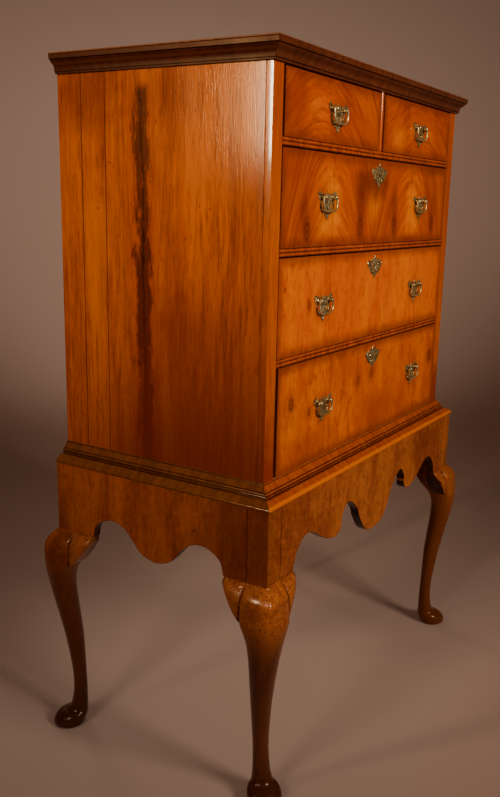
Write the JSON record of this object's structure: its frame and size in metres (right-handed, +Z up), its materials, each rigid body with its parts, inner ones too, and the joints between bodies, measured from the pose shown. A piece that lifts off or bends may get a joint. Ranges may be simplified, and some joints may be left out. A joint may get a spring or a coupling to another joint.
{
  "type": "chest of drawers on stand",
  "caption": "Tall chest of drawers in walnut on a low stand with cabriole legs and shaped aprons; brass bail handles; drawers, handles and lock bolts move.",
  "frame": {"origin": "on the floor, at the middle of the box round the whole chest", "axes": "+X to the right as one faces the drawers, -Y towards that person, +Z up"},
  "size_m": [1.0936, 0.6436, 1.555],
  "materials": {
    "walnut_front": "polished walnut veneer, aged to a bright orange brown",
    "walnut_side": "polished solid walnut, aged",
    "walnut_moulding": "polished cross-grained walnut moulding, dark",
    "walnut_waist": "polished cross-grained walnut moulding, bright",
    "walnut_apron": "polished walnut veneer, vertical grain",
    "walnut_leg": "polished solid walnut, glossy and dark",
    "pine": "bare pine, browned with age",
    "oak": "bare oak, browned with age",
    "brass": "old lacquered brass, tarnished",
    "iron": "old iron, dark with oxide"
  },
  "bodies": {
    "case": {"side_left": "walnut_side", "side_right": "walnut_side", "case_top": "walnut_side", "case_bottom": "pine", "back_boards": "pine", "stiles": "walnut_front", "drawer_rails": "pine", "rail_beads": "walnut_moulding", "top_divider": "walnut_front", "runners_and_guides": "pine", "drawer_stops": "oak", "cornice": "walnut_moulding", "waist_moulding": "walnut_waist", "leg_front_left": "walnut_leg", "leg_front_right": "walnut_leg", "leg_back_left": "walnut_leg", "leg_back_right": "walnut_leg", "knee_blocks": "walnut_leg", "apron_front": "walnut_apron", "apron_left": "walnut_apron", "apron_right": "walnut_apron", "back_rail": "pine", "bearers": "pine"},
    "drawer_top_left": {"top_left_front": "walnut_front", "top_left_box": "oak", "top_left_bottom": "oak", "top_left_backplate": "brass"},
    "bail_top_left": {"top_left_bail": "brass"},
    "drawer_top_right": {"top_right_front": "walnut_front", "top_right_box": "oak", "top_right_bottom": "oak", "top_right_backplate": "brass"},
    "bail_top_right": {"top_right_bail": "brass"},
    "drawer_upper": {"upper_front": "walnut_front", "upper_box": "oak", "upper_bottom": "oak", "upper_backplates": "brass", "upper_keyplate": "brass", "upper_lock": "iron"},
    "bail_upper_left": {"upper_bail_left": "brass"},
    "bail_upper_right": {"upper_bail_right": "brass"},
    "bolt_upper": {"upper_bolt": "brass"},
    "drawer_middle": {"middle_front": "walnut_front", "middle_box": "oak", "middle_bottom": "oak", "middle_backplates": "brass", "middle_keyplate": "brass", "middle_lock": "iron"},
    "bail_middle_left": {"middle_bail_left": "brass"},
    "bail_middle_right": {"middle_bail_right": "brass"},
    "bolt_middle": {"middle_bolt": "brass"},
    "drawer_lower": {"lower_front": "walnut_front", "lower_box": "oak", "lower_bottom": "oak", "lower_backplates": "brass", "lower_keyplate": "brass", "lower_lock": "iron"},
    "bail_lower_left": {"lower_bail_left": "brass"},
    "bail_lower_right": {"lower_bail_right": "brass"},
    "bolt_lower": {"lower_bolt": "brass"}
  },
  "joints": [
    {"name": "slide_top_left", "type": "slide", "parent": "case", "child": "drawer_top_left", "axis": [0, -1, 0], "range_m": [0, 0.38]},
    {"name": "swing_top_left", "type": "hinge", "parent": "drawer_top_left", "child": "bail_top_left", "pos_m": [-0.22025, -0.259, 1.455], "axis": [-1, 0, 0], "range_deg": [-8, 150]},
    {"name": "slide_top_right", "type": "slide", "parent": "case", "child": "drawer_top_right", "axis": [0, -1, 0], "range_m": [0, 0.38]},
    {"name": "swing_top_right", "type": "hinge", "parent": "drawer_top_right", "child": "bail_top_right", "pos_m": [0.22575, -0.259, 1.455], "axis": [-1, 0, 0], "range_deg": [-8, 150]},
    {"name": "slide_upper", "type": "slide", "parent": "case", "child": "drawer_upper", "axis": [0, -1, 0], "range_m": [0, 0.38]},
    {"name": "swing_upper_left", "type": "hinge", "parent": "drawer_upper", "child": "bail_upper_left", "pos_m": [-0.252, -0.259, 1.279], "axis": [-1, 0, 0], "range_deg": [-8, 150]},
    {"name": "swing_upper_right", "type": "hinge", "parent": "drawer_upper", "child": "bail_upper_right", "pos_m": [0.252, -0.259, 1.279], "axis": [-1, 0, 0], "range_deg": [-8, 150]},
    {"name": "throw_upper", "type": "slide", "parent": "drawer_upper", "child": "bolt_upper", "axis": [0, 0, 1], "range_m": [0, 0.009]},
    {"name": "slide_middle", "type": "slide", "parent": "case", "child": "drawer_middle", "axis": [0, -1, 0], "range_m": [0, 0.38]},
    {"name": "swing_middle_left", "type": "hinge", "parent": "drawer_middle", "child": "bail_middle_left", "pos_m": [-0.252, -0.259, 1.0665], "axis": [-1, 0, 0], "range_deg": [-8, 150]},
    {"name": "swing_middle_right", "type": "hinge", "parent": "drawer_middle", "child": "bail_middle_right", "pos_m": [0.252, -0.259, 1.0665], "axis": [-1, 0, 0], "range_deg": [-8, 150]},
    {"name": "throw_middle", "type": "slide", "parent": "drawer_middle", "child": "bolt_middle", "axis": [0, 0, 1], "range_m": [0, 0.009]},
    {"name": "slide_lower", "type": "slide", "parent": "case", "child": "drawer_lower", "axis": [0, -1, 0], "range_m": [0, 0.38]},
    {"name": "swing_lower_left", "type": "hinge", "parent": "drawer_lower", "child": "bail_lower_left", "pos_m": [-0.237, -0.259, 0.842], "axis": [-1, 0, 0], "range_deg": [-8, 150]},
    {"name": "swing_lower_right", "type": "hinge", "parent": "drawer_lower", "child": "bail_lower_right", "pos_m": [0.267, -0.259, 0.842], "axis": [-1, 0, 0], "range_deg": [-8, 150]},
    {"name": "throw_lower", "type": "slide", "parent": "drawer_lower", "child": "bolt_lower", "axis": [0, 0, 1], "range_m": [0, 0.009]}
  ]
}
